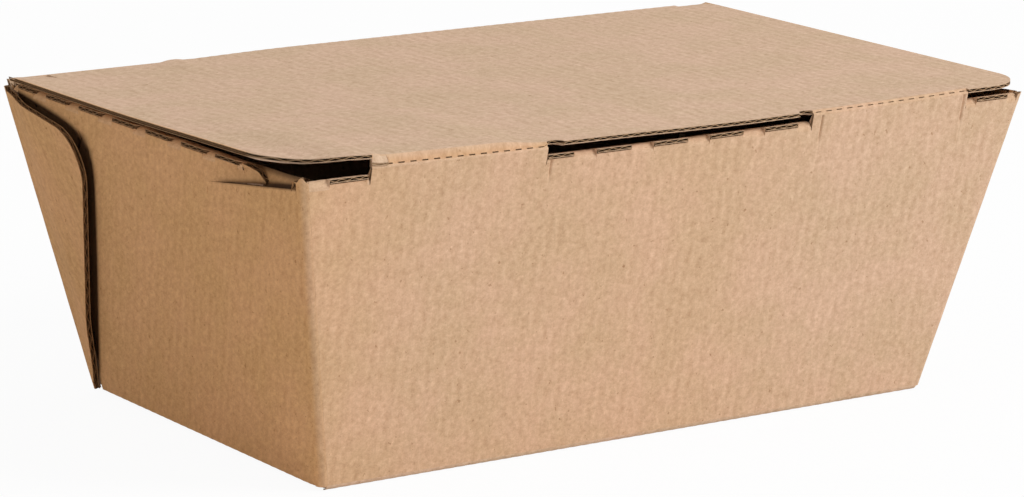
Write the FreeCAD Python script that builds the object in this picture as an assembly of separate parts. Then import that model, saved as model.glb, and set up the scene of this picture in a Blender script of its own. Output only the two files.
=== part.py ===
"""Takeaway box folded from one sheet of micro-flute corrugated board.

The tray flares outwards on all four sides. The hinge wall faces -Y and carries the lid on a
perforated crease in two stretches. Its end flaps cover both ends, and the far wall's smaller
flaps are glued over them. Origin at the centre of the base's underside, X along the length,
Z up, millimetres.
"""
import FreeCAD, Part
import math
import os

# Board
board = 1.5
fold_radius = 1.5
corner_radius = 2.2
bottom_radius = 1.7

# Tray, outer sizes of the hinge wall and of its end flaps
base_length = 182.0
base_width = 108.0
rim_length = 215.0
rim_width = 142.5
rim_height = 79.5

# End panels: layers of board, counted inwards from the hinge wall's flap
far_flap_layer = -1
hinge_flap_layer = 0
end_wall_layer = 1
flap_foot_gap = 0.8
end_wall_side_gap = 0.9
end_wall_top_gap = 0.3

# Free edge of the far wall's flap: up from the base, round a shoulder, out to the far corner.
# Insets are measured along the end, from the far wall's outer face at the point's own height.
far_flap_foot_inset = 1.0
shoulder_inset = 41.0
shoulder_drop = 7.9
shoulder_radius = 11.0
far_flap_tip_inset = 2.1
far_flap_tip_drop = 2.5

# Free edge of the hinge wall's flap, hidden under the far wall's
hinge_flap_foot_inset = 3.5
hinge_flap_head_inset = 3.25

# Diagonal crease that lets the glued box fold flat; insets from the hinge wall's outer face
diagonal_foot_inset = 3.0
diagonal_head_inset = 43.8
diagonal_head_drop = 9.0
crease_radius = 0.6
crease_depth = 0.22

# Dent that runs from the hinge corner down the end flap, under the corner web
dent_foot_inset = 4.25
dent_foot_drop = 2.3
dent_head_inset = 42.5
dent_head_drop = 8.0
dent_radius = 0.9
dent_depth = 0.3

# Corner web: the rim between the hinge corner and the end lip, left leaning inwards
web_start_inset = 2.25
web_length = 23.0
web_rise = 0.6
web_lean = 2.4
web_end_radius = 3.2

# Rim lips, folded inwards on a cut-crease
lip_width = 4.0
lip_drop = 3.0
end_lip_gap = 2.0
end_lip_end_inset = 4.75
cut_length = 10.0
cut_pitch = 16.7
cut_mouth = 1.0
cut_depth = 1.15
cut_front_depth = 0.5
hinge_cut_shift = -3.4
end_cut_shift = 10.85

# Lid hinge: two stretches of crease between three slots
hinge_rise = 2.6
hinge_start = 39.5
hinge_end = 86.5
hinge_gap = 0.3
slot_score_length = 5.0
slot_score_width = 0.4
perforation_pitch = 3.25
perforation_length = 1.7
perforation_radius = 0.45

# Lid
lid_overhang = 1.5
lid_far_inset = 3.65
lid_rest_gap = 0.3
lid_hinge_corner_radius = 18.0
lid_far_corner_radius = 1.5
ear_radius = 2.3
ear_inset = 2.1
tuck_depth = 26.0
tuck_inset = 11.0
tuck_taper = 5.0
tuck_corner_radius = 12.0

slope_x = (rim_length - base_length) / 2 / rim_height
slope_y = (rim_width - base_width) / 2 / rim_height
layer_x = board * math.hypot(1, slope_x)
layer_y = board * math.hypot(1, slope_y)
hinge_z = rim_height + hinge_rise
above = hinge_z + board
lid_length = rim_length + 2 * lid_overhang
tuck_length = lid_length - 2 * tuck_inset
lid_far_y = rim_width / 2 - lid_far_inset
web_start_y = web_start_inset - rim_width / 2
web_end_y = web_start_y + web_length
end_lip_start_y = web_end_y + end_lip_gap
end_lip_end_y = rim_width / 2 - end_lip_end_inset


def half_length(z, layer=0):
    """Half length of the end layer's outer face at height z."""
    return base_length / 2 + slope_x * z - layer * layer_x


def half_width(z, layer=0):
    """Half width of the long walls' outer face at height z."""
    return base_width / 2 + slope_y * z - layer * layer_y


def beside(side, inset, drop):
    """Point (y, z) of an end, an inset from a long wall's outer face and a drop below the rim."""
    z = rim_height - drop
    return side * (half_width(z) - inset), z


hinge_y = -half_width(hinge_z)


def place(point, axis, level):
    """Puts a flat point on the plane across the axis x, y or z at a level."""
    u, v = point
    return FreeCAD.Vector(*{"x": (level, u, v), "y": (u, level, v), "z": (u, v, level)}[axis])


def outline(corners, axis, level):
    """Closed wire through (u, v, radius) corners, each rounded by a tangent arc of its radius."""
    runs = []
    for i, (u, v, radius) in enumerate(corners):
        here = FreeCAD.Vector(u, v, 0)
        before = FreeCAD.Vector(*corners[i - 1][:2], 0) - here
        after = FreeCAD.Vector(*corners[(i + 1) % len(corners)][:2], 0) - here
        before.normalize()
        after.normalize()
        half_angle = before.getAngle(after) / 2
        reach = radius / math.tan(half_angle)
        bisector = (before + after).normalize() if radius else before
        middle = here + bisector * (radius / math.sin(half_angle) - radius)
        runs.append([here + before * reach, middle, here + after * reach, radius])
    edges = []
    for i, (start, middle, end, radius) in enumerate(runs):
        a, m, b = (place((p.x, p.y), axis, level) for p in (start, middle, end))
        if radius:
            edges.append(Part.Arc(a, m, b).toShape())
        following = runs[(i + 1) % len(runs)][0]
        c = place((following.x, following.y), axis, level)
        if b.distanceToPoint(c) > 1e-6:
            edges.append(Part.makeLine(b, c))
    return Part.Wire(edges)


def prism(corners, axis, start, end):
    """Straight solid with a rounded outline, from one level of its axis to another."""
    along = place((0, 0), axis, end - start)
    return Part.Face(outline(corners, axis, start)).extrude(along)


def flat_face(points):
    """Plane face through a closed run of points."""
    return Part.Face(Part.makePolygon(points + points[:1]))


def tapered_block(layer, side_layer, radius, foot, head):
    """Solid bounded by the flared outer faces of the given layers, with rounded upright edges."""
    rings = []
    for z in (foot, head):
        x, y = half_length(z, layer), half_width(z, side_layer)
        rings.append([FreeCAD.Vector(u, v, z) for u, v in ((x, -y), (x, y), (-x, y), (-x, -y))])
    low, high = rings
    sides = [flat_face([low[i - 1], low[i], high[i], high[i - 1]]) for i in range(4)]
    block = Part.makeSolid(Part.makeShell([flat_face(low[::-1]), flat_face(high)] + sides))
    uprights = [e for e in block.Edges if e.BoundBox.ZLength > (head - foot) / 2]
    return block.makeFillet(radius, uprights)


def box(x0, x1, y0, y1, z0, z1):
    return Part.makeBox(x1 - x0, y1 - y0, z1 - z0, FreeCAD.Vector(x0, y0, z0))


def both_ends(shape):
    """The shape and its mirror image across the YZ plane."""
    return [shape, shape.mirror(FreeCAD.Vector(0, 0, 0), FreeCAD.Vector(1, 0, 0))]


def joined(shapes):
    return shapes[0].multiFuse(shapes[1:]) if len(shapes) > 1 else shapes[0]


def sleeve(layer, foot, head):
    """All four walls of one layer, one board thick, with rounded upright folds."""
    outer = tapered_block(layer, 0, corner_radius, foot, head)
    inner = tapered_block(layer + 1, 1, corner_radius - board, foot, head)
    return outer.cut(inner)


def lip_section(half, layer):
    """Wall top folded inwards: (outward distance, height) corners of its section."""
    low, under = rim_height - lip_drop, rim_height - board
    return [
        (half(low), low, 0), (half(rim_height), rim_height, fold_radius),
        (half(rim_height) - lip_width, rim_height, 0), (half(rim_height) - lip_width, under, 0),
        (half(under) - layer, under, 0), (half(low) - layer, low, 0)]


def hinge_lip(x0, x1):
    return prism([(-u, v, r) for u, v, r in lip_section(half_width, layer_y)], "x", x0, x1)


def end_lip():
    return prism(lip_section(half_length, layer_x), "y", end_lip_start_y, end_lip_end_y)


def corner_web():
    """Rim that leans inwards between the hinge corner and a round cut end."""
    low, bend, top = rim_height - lip_drop, rim_height - board, rim_height + web_rise
    section = [
        (half_length(low), low, 0), (half_length(bend), bend, 0), (half_length(top) - web_lean, top, 0),
        (half_length(top) - web_lean - layer_x, top - board / 2, 0), (half_length(bend, 1), bend - board / 2, 0),
        (half_length(low, 1), low, 0)]
    side = prism([
        (web_start_y, low, 0), (web_end_y, low, 0), (web_end_y, top, web_end_radius), (web_start_y, top, 0)],
        "x", 0, rim_length)
    return prism(section, "y", web_start_y, web_end_y).common(side)


def cut_mouths(half, first, last, shift):
    """Sections and spans of the V cuts that open along a folded cut-crease."""
    middle = rim_height - board
    section = [(half(middle) + cut_front_depth, middle + cut_mouth / 2, 0), (half(middle) - cut_depth, middle, 0),
               (half(middle) + cut_front_depth, middle - cut_mouth / 2, 0)]
    spans = []
    for i in range(math.floor((first - shift) / cut_pitch) - 1, math.ceil((last - shift) / cut_pitch) + 2):
        start = max(first, shift + i * cut_pitch - cut_length / 2)
        end = min(last, shift + i * cut_pitch + cut_length / 2)
        if end - start > board:
            spans.append((start, end))
    return section, spans


def hinge_sheet():
    """Hinge wall with its tongues, rim lips and both end flaps."""
    low = rim_height - lip_drop
    wall = sleeve(hinge_flap_layer, flap_foot_gap, above)
    base_end = half_length(0, end_wall_layer)
    spare = [box(-base_end, base_end, -rim_width, rim_width, 0, bottom_radius + board)]
    spans = [(-rim_length, -hinge_end), (-hinge_start, hinge_start), (hinge_end, rim_length)]
    spare += [box(a, b, -rim_width, 0, low, above) for a, b in spans]
    spare.append(box(-rim_length, rim_length, 0, rim_width, low, above))
    spare.append(box(-rim_length, rim_length, end_lip_start_y, 0, low, above))
    wall = wall.cut(joined(spare))
    lips = [hinge_lip(-hinge_start, hinge_start)]
    lips += both_ends(hinge_lip(hinge_end, half_length(low) - corner_radius))
    lips += both_ends(end_lip()) + both_ends(corner_web())
    corner = sleeve(hinge_flap_layer, low, rim_height).common(
        joined(both_ends(box(half_length(low) - corner_radius, rim_length, -rim_width, web_start_y, low, above))))
    wall = joined([wall, corner] + lips)
    head_y = half_width(rim_height) - hinge_flap_head_inset
    kept = prism([
        (-rim_width, 0, 0), (half_width(0) - hinge_flap_foot_inset, 0, 0), (head_y, rim_height, 0),
        (head_y, above, 0), (-rim_width, above, 0)], "x", -rim_length, rim_length)
    return wall.common(kept)


def far_sheet():
    """Far long wall with its two smaller end flaps, glued on outside the others."""
    top = rim_height - board
    wall = sleeve(far_flap_layer, flap_foot_gap, rim_height)
    base_end = half_length(0, end_wall_layer)
    wall = wall.cut(box(-base_end, base_end, -rim_width, rim_width, 0, bottom_radius + board))
    far = rim_width
    foot_y, tip_y, tip_z = half_width(0) - far_flap_foot_inset, *beside(1, far_flap_tip_inset, far_flap_tip_drop)
    flap = prism([
        (foot_y, 0, 0), (far, 0, 0), (far, top, 0), (tip_y, top, 0), (tip_y, tip_z, 0),
        (*beside(1, shoulder_inset, shoulder_drop), shoulder_radius)], "x", -rim_length, rim_length)
    ridge = box(-rim_length, rim_length, half_width(rim_height, 2), far, top - board, rim_height)
    return wall.common(flap.fuse(ridge))


def base_sheet():
    """Base with its rounded bottom folds, the long walls' lower part and the two end walls."""
    block = tapered_block(end_wall_layer, 0, corner_radius, 0, rim_height)
    block = block.makeFillet(bottom_radius, [e for e in block.Edges if e.BoundBox.ZMax < 1e-6])
    shell = block.cut(tapered_block(end_wall_layer + 1, 1, corner_radius - board, board, above))
    top = rim_height - board - end_wall_top_gap
    inset = layer_y + end_wall_side_gap
    end_walls = prism([
        (-half_width(0) + inset, 0, 0), (half_width(0) - inset, 0, 0), (half_width(top) - inset, top, 0),
        (-half_width(top) + inset, top, 0)], "x", -rim_length, rim_length)
    foot = box(-rim_length, rim_length, -rim_width, rim_width, 0, bottom_radius + 2 * board)
    inner_end = half_length(0, end_wall_layer + 1)
    middle = box(-inner_end, inner_end, -rim_width, rim_width, 0, rim_height)
    return shell.common(joined([end_walls, foot.common(middle), foot.common(end_walls)]))


def mitres(side):
    """Cutters along the crease, on its lid side (1) or its tongue side (-1), half a gap away."""
    wall = FreeCAD.Vector(0, slope_y, -1).normalize()
    lid_down = FreeCAD.Vector(0, math.cos(lid_tilt), -math.sin(lid_tilt))
    bisector = (wall + lid_down).normalize()
    normal = FreeCAD.Vector(1, 0, 0).cross(bisector) * side
    corner = FreeCAD.Vector(0, hinge_y, hinge_z) - normal * (hinge_gap / 2)
    back = corner - bisector * board
    front = corner + bisector * (1.8 * board)
    points = [back, front, front + normal * (4 * board), back + normal * (4 * board)]
    section = [(p.y, p.z, 0) for p in points]
    return both_ends(prism(section, "x", hinge_start - hinge_gap, hinge_end + hinge_gap))


def perforations():
    """Short round cuts along the crease, which leave bridges between them."""
    span = hinge_end - hinge_start
    count = int(span / perforation_pitch)
    first = hinge_start + (span - (count - 1) * perforation_pitch) / 2
    cuts = []
    for i in range(count):
        foot = FreeCAD.Vector(first + i * perforation_pitch - perforation_length / 2, hinge_y, hinge_z)
        cuts += both_ends(Part.makeCylinder(perforation_radius, perforation_length, foot, FreeCAD.Vector(1, 0, 0)))
    return cuts


def pressed_line(foot_y, foot_z, head_y, head_z, radius, depth):
    """Round bar that presses a straight crease into the end flap's outer face."""
    lift = radius - depth
    foot = FreeCAD.Vector(half_length(foot_z) + lift, foot_y, foot_z)
    along = FreeCAD.Vector(half_length(head_z) + lift, head_y, head_z) - foot
    return Part.makeCylinder(radius, along.Length, foot, along)


def flap_creases():
    """Diagonal fold line and corner dent of the end flaps."""
    diagonal = pressed_line(
        *beside(-1, diagonal_foot_inset, rim_height), *beside(-1, diagonal_head_inset, diagonal_head_drop),
        crease_radius, crease_depth)
    dent = pressed_line(
        *beside(-1, dent_foot_inset, dent_foot_drop), *beside(-1, dent_head_inset, dent_head_drop),
        dent_radius, dent_depth)
    return both_ends(diagonal) + both_ends(dent)


def slot_scores():
    """Short slits that run down the hinge wall from the slots' ends."""
    low = rim_height - slot_score_length
    return [
        shape for x in (hinge_start, hinge_end)
        for shape in both_ends(box(
            x - slot_score_width / 2, x + slot_score_width / 2, -rim_width, -half_width(low, 2), low, above))]


def tray():
    body = joined([hinge_sheet(), far_sheet(), base_sheet()])
    cuts = mitres(1) + perforations() + slot_scores() + flap_creases()
    section, spans = cut_mouths(half_width, -half_length(rim_height) + 2 * board, half_length(rim_height) - 2 * board,
                                hinge_cut_shift)
    for start, end in spans:
        for a, b in ((-rim_length, -hinge_end), (-hinge_start, hinge_start), (hinge_end, rim_length)):
            if min(end, b) - max(start, a) > board:
                cuts.append(prism([(-u, v, r) for u, v, r in section], "x", max(start, a), min(end, b)))
    section, spans = cut_mouths(half_length, end_lip_start_y + board, end_lip_end_y - 2 * board, end_cut_shift)
    for start, end in spans:
        cuts += both_ends(prism(section, "y", start, end))
    return body.cut(joined(cuts)).removeSplitter()


rest_drop = hinge_rise - board - lid_rest_gap
lid_tilt = math.asin(rest_drop / (lid_far_y - hinge_y))


def lid():
    """Lid panel with its tuck flap, drawn level with the crease and then let down to its rest."""
    under = hinge_z - board
    lean = math.atan(slope_y) - lid_tilt
    down = (-math.sin(lean), -math.cos(lean))
    inward = (-math.cos(lean), math.sin(lean))
    tip = (lid_far_y + down[0] * tuck_depth, hinge_z + down[1] * tuck_depth)
    inner_tip = (tip[0] + inward[0] * board, tip[1] + inward[1] * board)
    inner_y = inner_tip[0] + (under - inner_tip[1]) * math.tan(lean)
    sheet = prism([
        (hinge_y, hinge_z, 0), (hinge_y, under, 0), (inner_y, under, 0), (*inner_tip, 0), (*tip, 0),
        (lid_far_y, hinge_z, fold_radius)], "x", -lid_length / 2, lid_length / 2)
    plan = prism([
        (-lid_length / 2, hinge_y, lid_hinge_corner_radius), (lid_length / 2, hinge_y, lid_hinge_corner_radius),
        (lid_length / 2, lid_far_y, lid_far_corner_radius), (-lid_length / 2, lid_far_y, lid_far_corner_radius)],
        "z", under - tuck_depth - board, above)
    low = hinge_z - tuck_depth
    top, bottom = tuck_length / 2, tuck_length / 2 - tuck_taper
    tuck = prism([
        (-bottom, low - board, tuck_corner_radius), (bottom, low - board, tuck_corner_radius), (top, under, 0),
        (-top, under, 0)], "y", hinge_y, lid_far_y)
    panel = prism([
        (-lid_length, under, 0), (lid_length, under, 0), (lid_length, above, 0), (-lid_length, above, 0)],
        "y", hinge_y, lid_far_y)
    sheet = sheet.common(plan).common(tuck.fuse(panel))
    sheet.rotate(FreeCAD.Vector(0, hinge_y, hinge_z), FreeCAD.Vector(1, 0, 0), -math.degrees(lid_tilt))
    ears = both_ends(Part.makeCylinder(
        ear_radius, 3 * board, FreeCAD.Vector(hinge_start - ear_inset, hinge_y, hinge_z - 2 * board)))
    return sheet.cut(joined(mitres(-1) + ears + perforations())).removeSplitter()


os.makedirs("parts", exist_ok=True)
for name, shape in (("tray", tray()), ("lid", lid())):
    print(name, "solids", len(shape.Solids), "valid", shape.isValid(), "volume", round(shape.Volume))
    shape.exportStep("parts/%s.step" % name)
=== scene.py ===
# %% [markdown]
# # A takeaway box folded from corrugated board
#
# The real thing is one die-cut sheet of micro-flute board: two flat papers, the liners, glued to
# a wavy one, the medium. It could be faked with flat panels and a striped picture, but every cut
# edge of such a box shows the waves, so here each panel is built as the three papers it has.
# The CAD part is loaded first as a fixed frame, and every piece is laid where its solids are.

import math

import bpy
import numpy as np
from mathutils import Matrix, Vector


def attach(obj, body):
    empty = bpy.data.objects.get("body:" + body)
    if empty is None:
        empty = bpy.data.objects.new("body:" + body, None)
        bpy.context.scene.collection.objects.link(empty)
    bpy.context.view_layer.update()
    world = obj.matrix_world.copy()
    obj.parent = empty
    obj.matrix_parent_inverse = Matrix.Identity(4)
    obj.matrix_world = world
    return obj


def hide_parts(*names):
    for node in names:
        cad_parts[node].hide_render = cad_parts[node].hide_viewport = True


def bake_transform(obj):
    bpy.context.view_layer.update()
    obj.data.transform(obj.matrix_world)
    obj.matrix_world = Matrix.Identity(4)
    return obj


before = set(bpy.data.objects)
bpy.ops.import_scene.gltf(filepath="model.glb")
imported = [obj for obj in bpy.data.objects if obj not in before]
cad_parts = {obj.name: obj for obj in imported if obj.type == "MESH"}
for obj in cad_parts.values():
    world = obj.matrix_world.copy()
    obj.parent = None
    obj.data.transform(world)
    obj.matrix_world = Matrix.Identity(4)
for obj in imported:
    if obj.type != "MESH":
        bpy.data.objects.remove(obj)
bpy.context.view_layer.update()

# %% [markdown]
# ## The sizes of the sheet
#
# These are the sizes that the CAD source has, in millimetres, except that the tongues reach 1.9 mm
# further out. Meshes are scaled to metres when they are made. A panel's own flat coordinates are
# `across`, measured over the flutes, and `along`, measured up the panel from the base's fold. All
# four walls flare.

# %% Sizes
MM = 0.001
board = 1.5
base_half_length, base_half_width = 91.0, 54.0
rim_half_length, rim_half_width, rim_height = 107.5, 71.25, 79.5
flare_x = (rim_half_length - base_half_length) / rim_height
flare_y = (rim_half_width - base_half_width) / rim_height
tilt_x, tilt_y = math.atan(flare_x), math.atan(flare_y)
hinge_z = 82.1
hinge_y = -(base_half_width + flare_y * hinge_z)
wall_rim = rim_height / math.cos(tilt_y)
end_rim = rim_height / math.cos(tilt_x)
wall_hinge = hinge_z / math.cos(tilt_y)
bottom_radius = 1.7
lip_radius = 1.7
lip_width = 4.0
corner_radius = 2.2
slot_half, tongue_end = 39.5, 88.4

flute_pitch = 3.3
liner = 0.28
medium = 0.26
swing = board / 2 - liner - medium / 2
washboard = 0.05
KRAFT, EDGE, FLUTE = 0, 1, 2
usual_warmth = 0.22
edge_crush = 0.3
print("walls lean out by", round(math.degrees(tilt_x), 1), "and", round(math.degrees(tilt_y), 1), "degrees")

# %% [markdown]
# ## From three papers to one mesh
#
# A layer of paper is two copies of one grid of points, a thickness apart, joined round their
# rims. That closes the surface whatever the grid's outline is, so slots and rounded corners only
# need the ends of the grid's columns moved. The whole layer is turned if its volume comes out
# negative, so faces always point outwards. Each point also keeps a number which the papers'
# colours follow: from 0 to 1 it turns the paper browner, and from 1 to 2 it paints shade into it.


# %% The mesh of a piece of board
class Pieces:
    """Collects closed layers of paper and makes one mesh object of them."""

    def __init__(self):
        self.points, self.faces, self.flat, self.finish, self.warmth = [], [], [], [], []
        self.count = 0

    def layer(self, outer, inner, flat, finishes, warmth):
        """Closes the space between two (n, m, 3) grids; volume = sum of p0 . (p1 x p2) / 6."""
        n, m = outer.shape[:2]
        ids = np.arange(n * m).reshape(n, m)
        top = np.stack([ids[:-1, :-1], ids[1:, :-1], ids[1:, 1:], ids[:-1, 1:]], -1).reshape(-1, 4)
        ring = np.concatenate([ids[:, 0], ids[-1, 1:], ids[-2::-1, -1], ids[0, -2:0:-1]])
        after = np.roll(ring, -1)
        rim = np.stack([ring, ring + n * m, after + n * m, after], -1)
        faces = np.concatenate([top, top[:, ::-1] + n * m, rim])
        points = np.concatenate([outer.reshape(-1, 3), inner.reshape(-1, 3)])
        corner = points[faces]
        volume = sum((corner[:, 0] * np.cross(corner[:, a], corner[:, a + 1])).sum() for a in (1, 2))
        if volume < 0:
            faces = faces[:, ::-1]
        self.points.append(points)
        self.faces.append(faces + self.count)
        self.flat.append(np.concatenate([flat.reshape(-1, 2)] * 2))
        self.warmth.append(np.concatenate([np.broadcast_to(warmth, (n, m)).reshape(-1)] * 2))
        self.finish.append(np.repeat(finishes, (len(top), len(top), len(rim))))
        self.count += len(points)

    def mesh_object(self, name, materials):
        """One mesh of all layers in metres, with its place on the flat sheet as a UV map."""
        points, faces = np.concatenate(self.points), np.concatenate(self.faces)
        mesh = bpy.data.meshes.new(name)
        mesh.vertices.add(len(points))
        mesh.vertices.foreach_set("co", (points * MM).astype(np.float32).ravel())
        mesh.loops.add(faces.size)
        mesh.loops.foreach_set("vertex_index", faces.astype(np.int32).ravel())
        mesh.polygons.add(len(faces))
        mesh.polygons.foreach_set("loop_start", np.arange(0, faces.size, 4, dtype=np.int32))
        mesh.update(calc_edges=True)
        mesh.polygons.foreach_set("material_index", np.concatenate(self.finish).astype(np.int32))
        mesh.polygons.foreach_set("use_smooth", np.ones(len(faces), bool))
        sheet = mesh.uv_layers.new(name="sheet")
        flat = np.concatenate(self.flat) * MM
        sheet.data.foreach_set("uv", flat[faces].astype(np.float32).ravel())
        # Per point: browner paper from 0 to 1, painted shade from 1 to 2.
        tone = mesh.attributes.new("warmth", "FLOAT", "POINT")
        tone.data.foreach_set("value", np.concatenate(self.warmth).astype(np.float32))
        mesh.set_sharp_from_angle(angle=math.radians(40))
        piece = bpy.data.objects.new(name, mesh)
        bpy.context.scene.collection.objects.link(piece)
        for material in materials:
            mesh.materials.append(material)
        print(name, len(points), "points", 2 * len(faces), "triangles")
        return piece


def corrugate(pieces, place, across, along, warmth=0.0, ends=(1,), crush=0.0):
    """Liner, medium and liner over one grid, at one end of the box or at both.

    The medium's middle is at depth board/2 + swing * sin(2 pi across / pitch), and each liner
    sinks by washboard * (1 +- sin) / 2 where the medium leaves it. All depths shrink by the
    share crush, where the die has squeezed the board. The medium keeps every third row.
    """
    along = np.broadcast_to(along, np.broadcast_shapes(across.shape, along.shape))
    across = np.broadcast_to(across, along.shape)
    thickness = 1 - np.broadcast_to(crush, along.shape)
    every = np.arange(along.shape[1])
    sparse = np.union1d(every[::3], every[-1:])
    wave = np.sin(2 * np.pi * across / flute_pitch)
    middle = board / 2 + swing * wave
    flat = np.stack([across, along], -1)
    layers = [
        (washboard * (1 + wave) / 2, liner + 0 * wave, (KRAFT, FLUTE, EDGE)),
        (middle - medium / 2, middle + medium / 2, (FLUTE, FLUTE, FLUTE)),
        (board - liner + 0 * wave, board - washboard * (1 - wave) / 2, (FLUTE, KRAFT, EDGE))]
    tone = np.broadcast_to(warmth, along.shape)
    for start, end, finishes in layers:
        rows = sparse if finishes[1] == finishes[2] else every
        outer, inner = (place(across, along, depth * thickness)[:, rows] for depth in (start, end))
        for flip in ends:
            mirror = (flip, 1, 1)
            pieces.layer(outer * mirror, inner * mirror, flat[:, rows] * (flip, 1), finishes, tone[:, rows])


# %% Squeezed edges and grids
def crushed(distance, share=edge_crush, reach=0.9):
    """Squeeze near a die-cut edge: share * exp(-(distance / reach)^2)."""
    return share * np.exp(-(distance / reach) ** 2)


def creased(distance):
    """The same, harder and wider, where the board turns into the lid's crease."""
    return crushed(distance, 0.5, 1.4)


def columns(low, high, corners=(), step=flute_pitch / 8):
    """Sorted positions over the flutes: eight to a flute, the two ends and the given corners."""
    regular = np.arange(math.ceil(low / step), math.floor(high / step) + 1) * step
    inside = [c for c in corners if low < c < high]
    every = np.unique(np.round(np.concatenate([regular, inside, [low, high]]), 4))
    far = np.diff(every) > 0.008
    return every[np.concatenate([[True], far])]


def ruled(across, low, high, rows):
    """Grid whose column at across[i] runs from low[i] to high[i]; rows are shares from 0 to 1."""
    low, high = np.broadcast_to(low, across.shape), np.broadcast_to(high, across.shape)
    high = np.maximum(high, low + 0.02)
    return across[:, None], low[:, None] + (high - low)[:, None] * np.asarray(rows)[None, :]


# %% [markdown]
# ## Folds
#
# A fold in board is a small arc. Seen end on, a folded sheet is a line through a few corners,
# each rounded by a circle that touches both sides, and a point at some depth in the board lies
# that far inside the outer surface. One function of the way along that line therefore places
# the walls, the lips, the base, the lid and its tuck flap.


# %% A folded cross-section
def folded(corners, radii, start=0.0):
    """Function (s, depth) -> (u, v) for a line that turns clockwise at its corners.

    Off the folds it is corner + s * direction - depth * normal. Within radius * tan(turn / 2) of
    a corner it is centre + (radius - depth) * (cos a, sin a), where a turns in step with s.
    """
    corners = np.array(corners, float)
    runs = np.diff(corners, axis=0)
    lengths = np.hypot(*runs.T)
    heading = runs / lengths[:, None]
    normal = np.stack([-heading[:, 1], heading[:, 0]], -1)
    reach = start + np.concatenate([[0], np.cumsum(lengths)])

    def place(s, depth):
        s, depth = np.broadcast_arrays(np.asarray(s, float), depth)
        run = np.clip(np.searchsorted(reach, s, side="right") - 1, 0, len(runs) - 1)
        point = corners[run] + (s - reach[run])[..., None] * heading[run] - depth[..., None] * normal[run]
        for i, radius in enumerate(radii, 1):
            first = math.atan2(normal[i - 1][1], normal[i - 1][0])
            turn = math.atan2(heading[i - 1][0] * heading[i][1] - heading[i - 1][1] * heading[i][0],
                              heading[i - 1] @ heading[i])
            touch = radius * math.tan(abs(turn) / 2)
            centre = corners[i] - radius * (normal[i - 1] + normal[i]) / (1 + normal[i - 1] @ normal[i])
            angle = first + turn * np.clip((s - reach[i] + touch) / (2 * touch), 0, 1)
            arc = centre + (radius - depth)[..., None] * np.stack([np.cos(angle), np.sin(angle)], -1)
            point = np.where((abs(s - reach[i]) < touch)[..., None], arc, point)
        return point

    return place


def half_length(z):
    """Half the box's length at height z: base_half_length + flare_x * z."""
    return base_half_length + flare_x * z


def half_width(z):
    """Half the box's width at height z: base_half_width + flare_y * z."""
    return base_half_width + flare_y * z


def smooth(t):
    """Eases from 0 to 1: t * t * (3 - 2 t), held outside."""
    t = np.clip(t, 0, 1)
    return t * t * (3 - 2 * t)


# %% [markdown]
# ## How the used box has given way
#
# Board that has been folded by hand is never flat. The hinge line bows down a little between its
# corners, and everything near it follows.

# %% Warps
hinge_bow, bow_reach = 0.9, 88.0


def bowed(points):
    """Lowers points near the top of the hinge wall by bow * (1 - (x / reach)^2), fading away."""
    x, y, z = points[..., 0], points[..., 1], points[..., 2]
    near = smooth((-y - 40) / 30) * np.clip(z / hinge_z, 0, 1) ** 2
    drop = hinge_bow * np.clip(1 - (x / bow_reach) ** 2, 0, 1) * near
    return np.stack([x, y, z - drop], -1)


# %% [markdown]
# ## The hinge wall
#
# The front of the box is one tall panel. Its top is not one line: two tongues run on up to the
# lid's crease, and between and beside them the board is folded inwards as a narrow lip, along a
# line that is cut through for about 10 mm in every 17. Where it is cut, the lip's raw end looks
# out over a dark slit. The columns of the grid follow the flutes and only end at different
# heights.

# %% Cuts and folds of the rim
lip_dip = 0.2
rim_turn = math.pi / 2 + tilt_y + math.atan(lip_dip)
lip_touch = lip_radius * math.tan(rim_turn / 2)
bottom_touch = bottom_radius * math.tan((math.pi / 2 - tilt_y) / 2)
lip_crush = 0.34
cut_top = rim_height - board * (1 - lip_crush) - 0.3
jump = 0.01
hinge_cuts = [(-99.5, -89.3), (-39.3, -31.8), (-25.1, -15.1), (-8.4, 1.6), (8.3, 18.3), (25.0, 35.0),
              (91.8, 101.8)]
tongues = [(-tongue_end, -slot_half), (slot_half, tongue_end)]
corner_reach = corner_radius * math.tan(math.acos(math.sin(tilt_x) * math.sin(tilt_y)) / 2)
side_slope = (rim_half_length - base_half_length) / wall_rim
side_inset = corner_reach * math.hypot(1, side_slope)
crease_touch = 1.35
print(len(hinge_cuts), "cuts in the hinge wall's rim")


def spans_mask(values, spans):
    """True where a value lies inside one of the spans."""
    return np.any([(values > a) & (values < b) for a, b in spans], axis=0)


def doubled(spans):
    """Both sides of each end of the spans, a hundredth of a millimetre apart."""
    return [e + d for span in spans for e in span for d in (-jump / 2, jump / 2)]


# %% The wall seen end on
lip_head = (0, rim_height - lip_dip * rim_half_width)
wall_line = folded([(0, 0), (-base_half_width, 0), (-half_width(100), 100)], [bottom_radius],
                   -base_half_width)
lip_line = folded([(0, 0), (-base_half_width, 0), (-rim_half_width, rim_height), lip_head],
                  [bottom_radius, lip_radius], -base_half_width)


def on_wall(across, along, depth, line=wall_line):
    """Point of a long wall: x is the way over the flutes, y and z come from the folded line."""
    yz = line(along, depth)
    return bowed(np.stack([np.broadcast_to(across, yz.shape[:-1]), yz[..., 0], yz[..., 1]], -1))


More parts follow.
